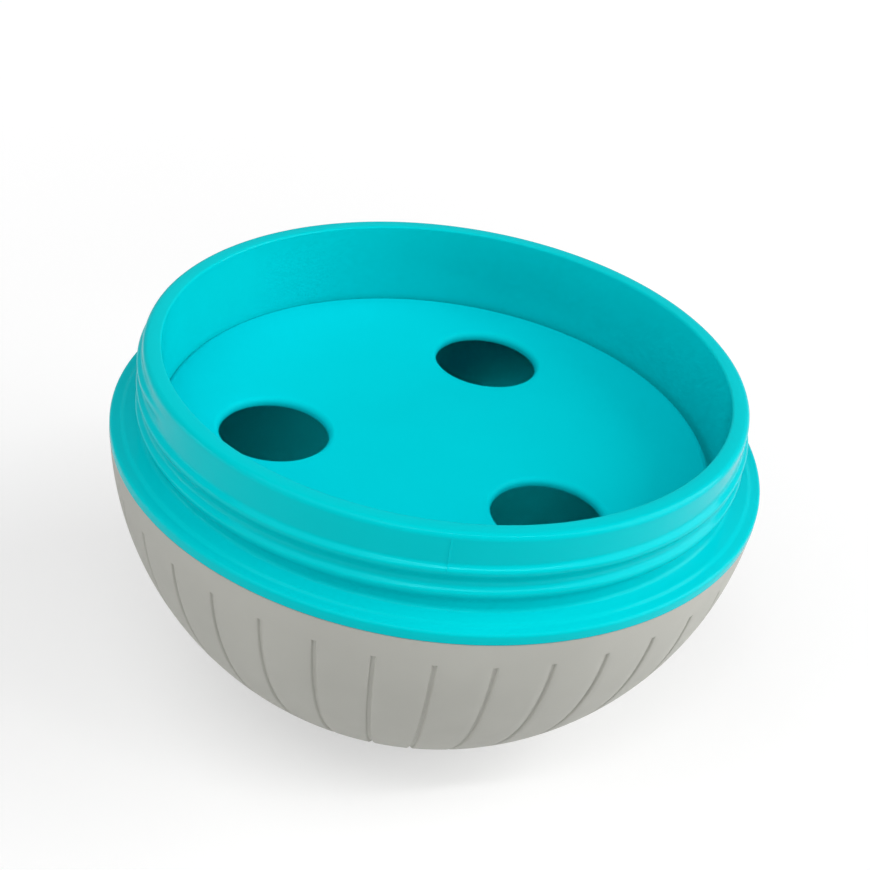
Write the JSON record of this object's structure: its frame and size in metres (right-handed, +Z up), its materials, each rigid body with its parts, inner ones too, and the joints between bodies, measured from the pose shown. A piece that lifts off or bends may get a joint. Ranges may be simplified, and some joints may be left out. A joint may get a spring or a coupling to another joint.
{
  "type": "treat ball",
  "caption": "Lower half of a treat ball for pets: a grooved round shell and inner bowl under a screw neck, with a lift-out disc whose holes drop treats towards a bottom outlet.",
  "frame": {"origin": "on the floor, on the ball's axis, at the middle of the ring that it stands on", "axes": "+Z up along the axis of the screw neck, -Y towards the side that the picture shows in front"},
  "size_m": [0.14, 0.14, 0.0841],
  "materials": {
    "shell_grey": "fine matte moulded plastic",
    "bowl_turquoise": "satin moulded plastic",
    "collar_turquoise": "satin moulded plastic",
    "disc_turquoise": "satin moulded plastic"
  },
  "bodies": {
    "base": {"outer_shell": "shell_grey", "inner_bowl": "bowl_turquoise", "threaded_collar": "collar_turquoise"},
    "disc": {"sorting_disc": "disc_turquoise"}
  },
  "joints": [
    {"name": "disc_lift", "type": "slide", "parent": "base", "child": "disc", "axis": [0, 0, 1], "range_m": [0, 0.05]}
  ]
}
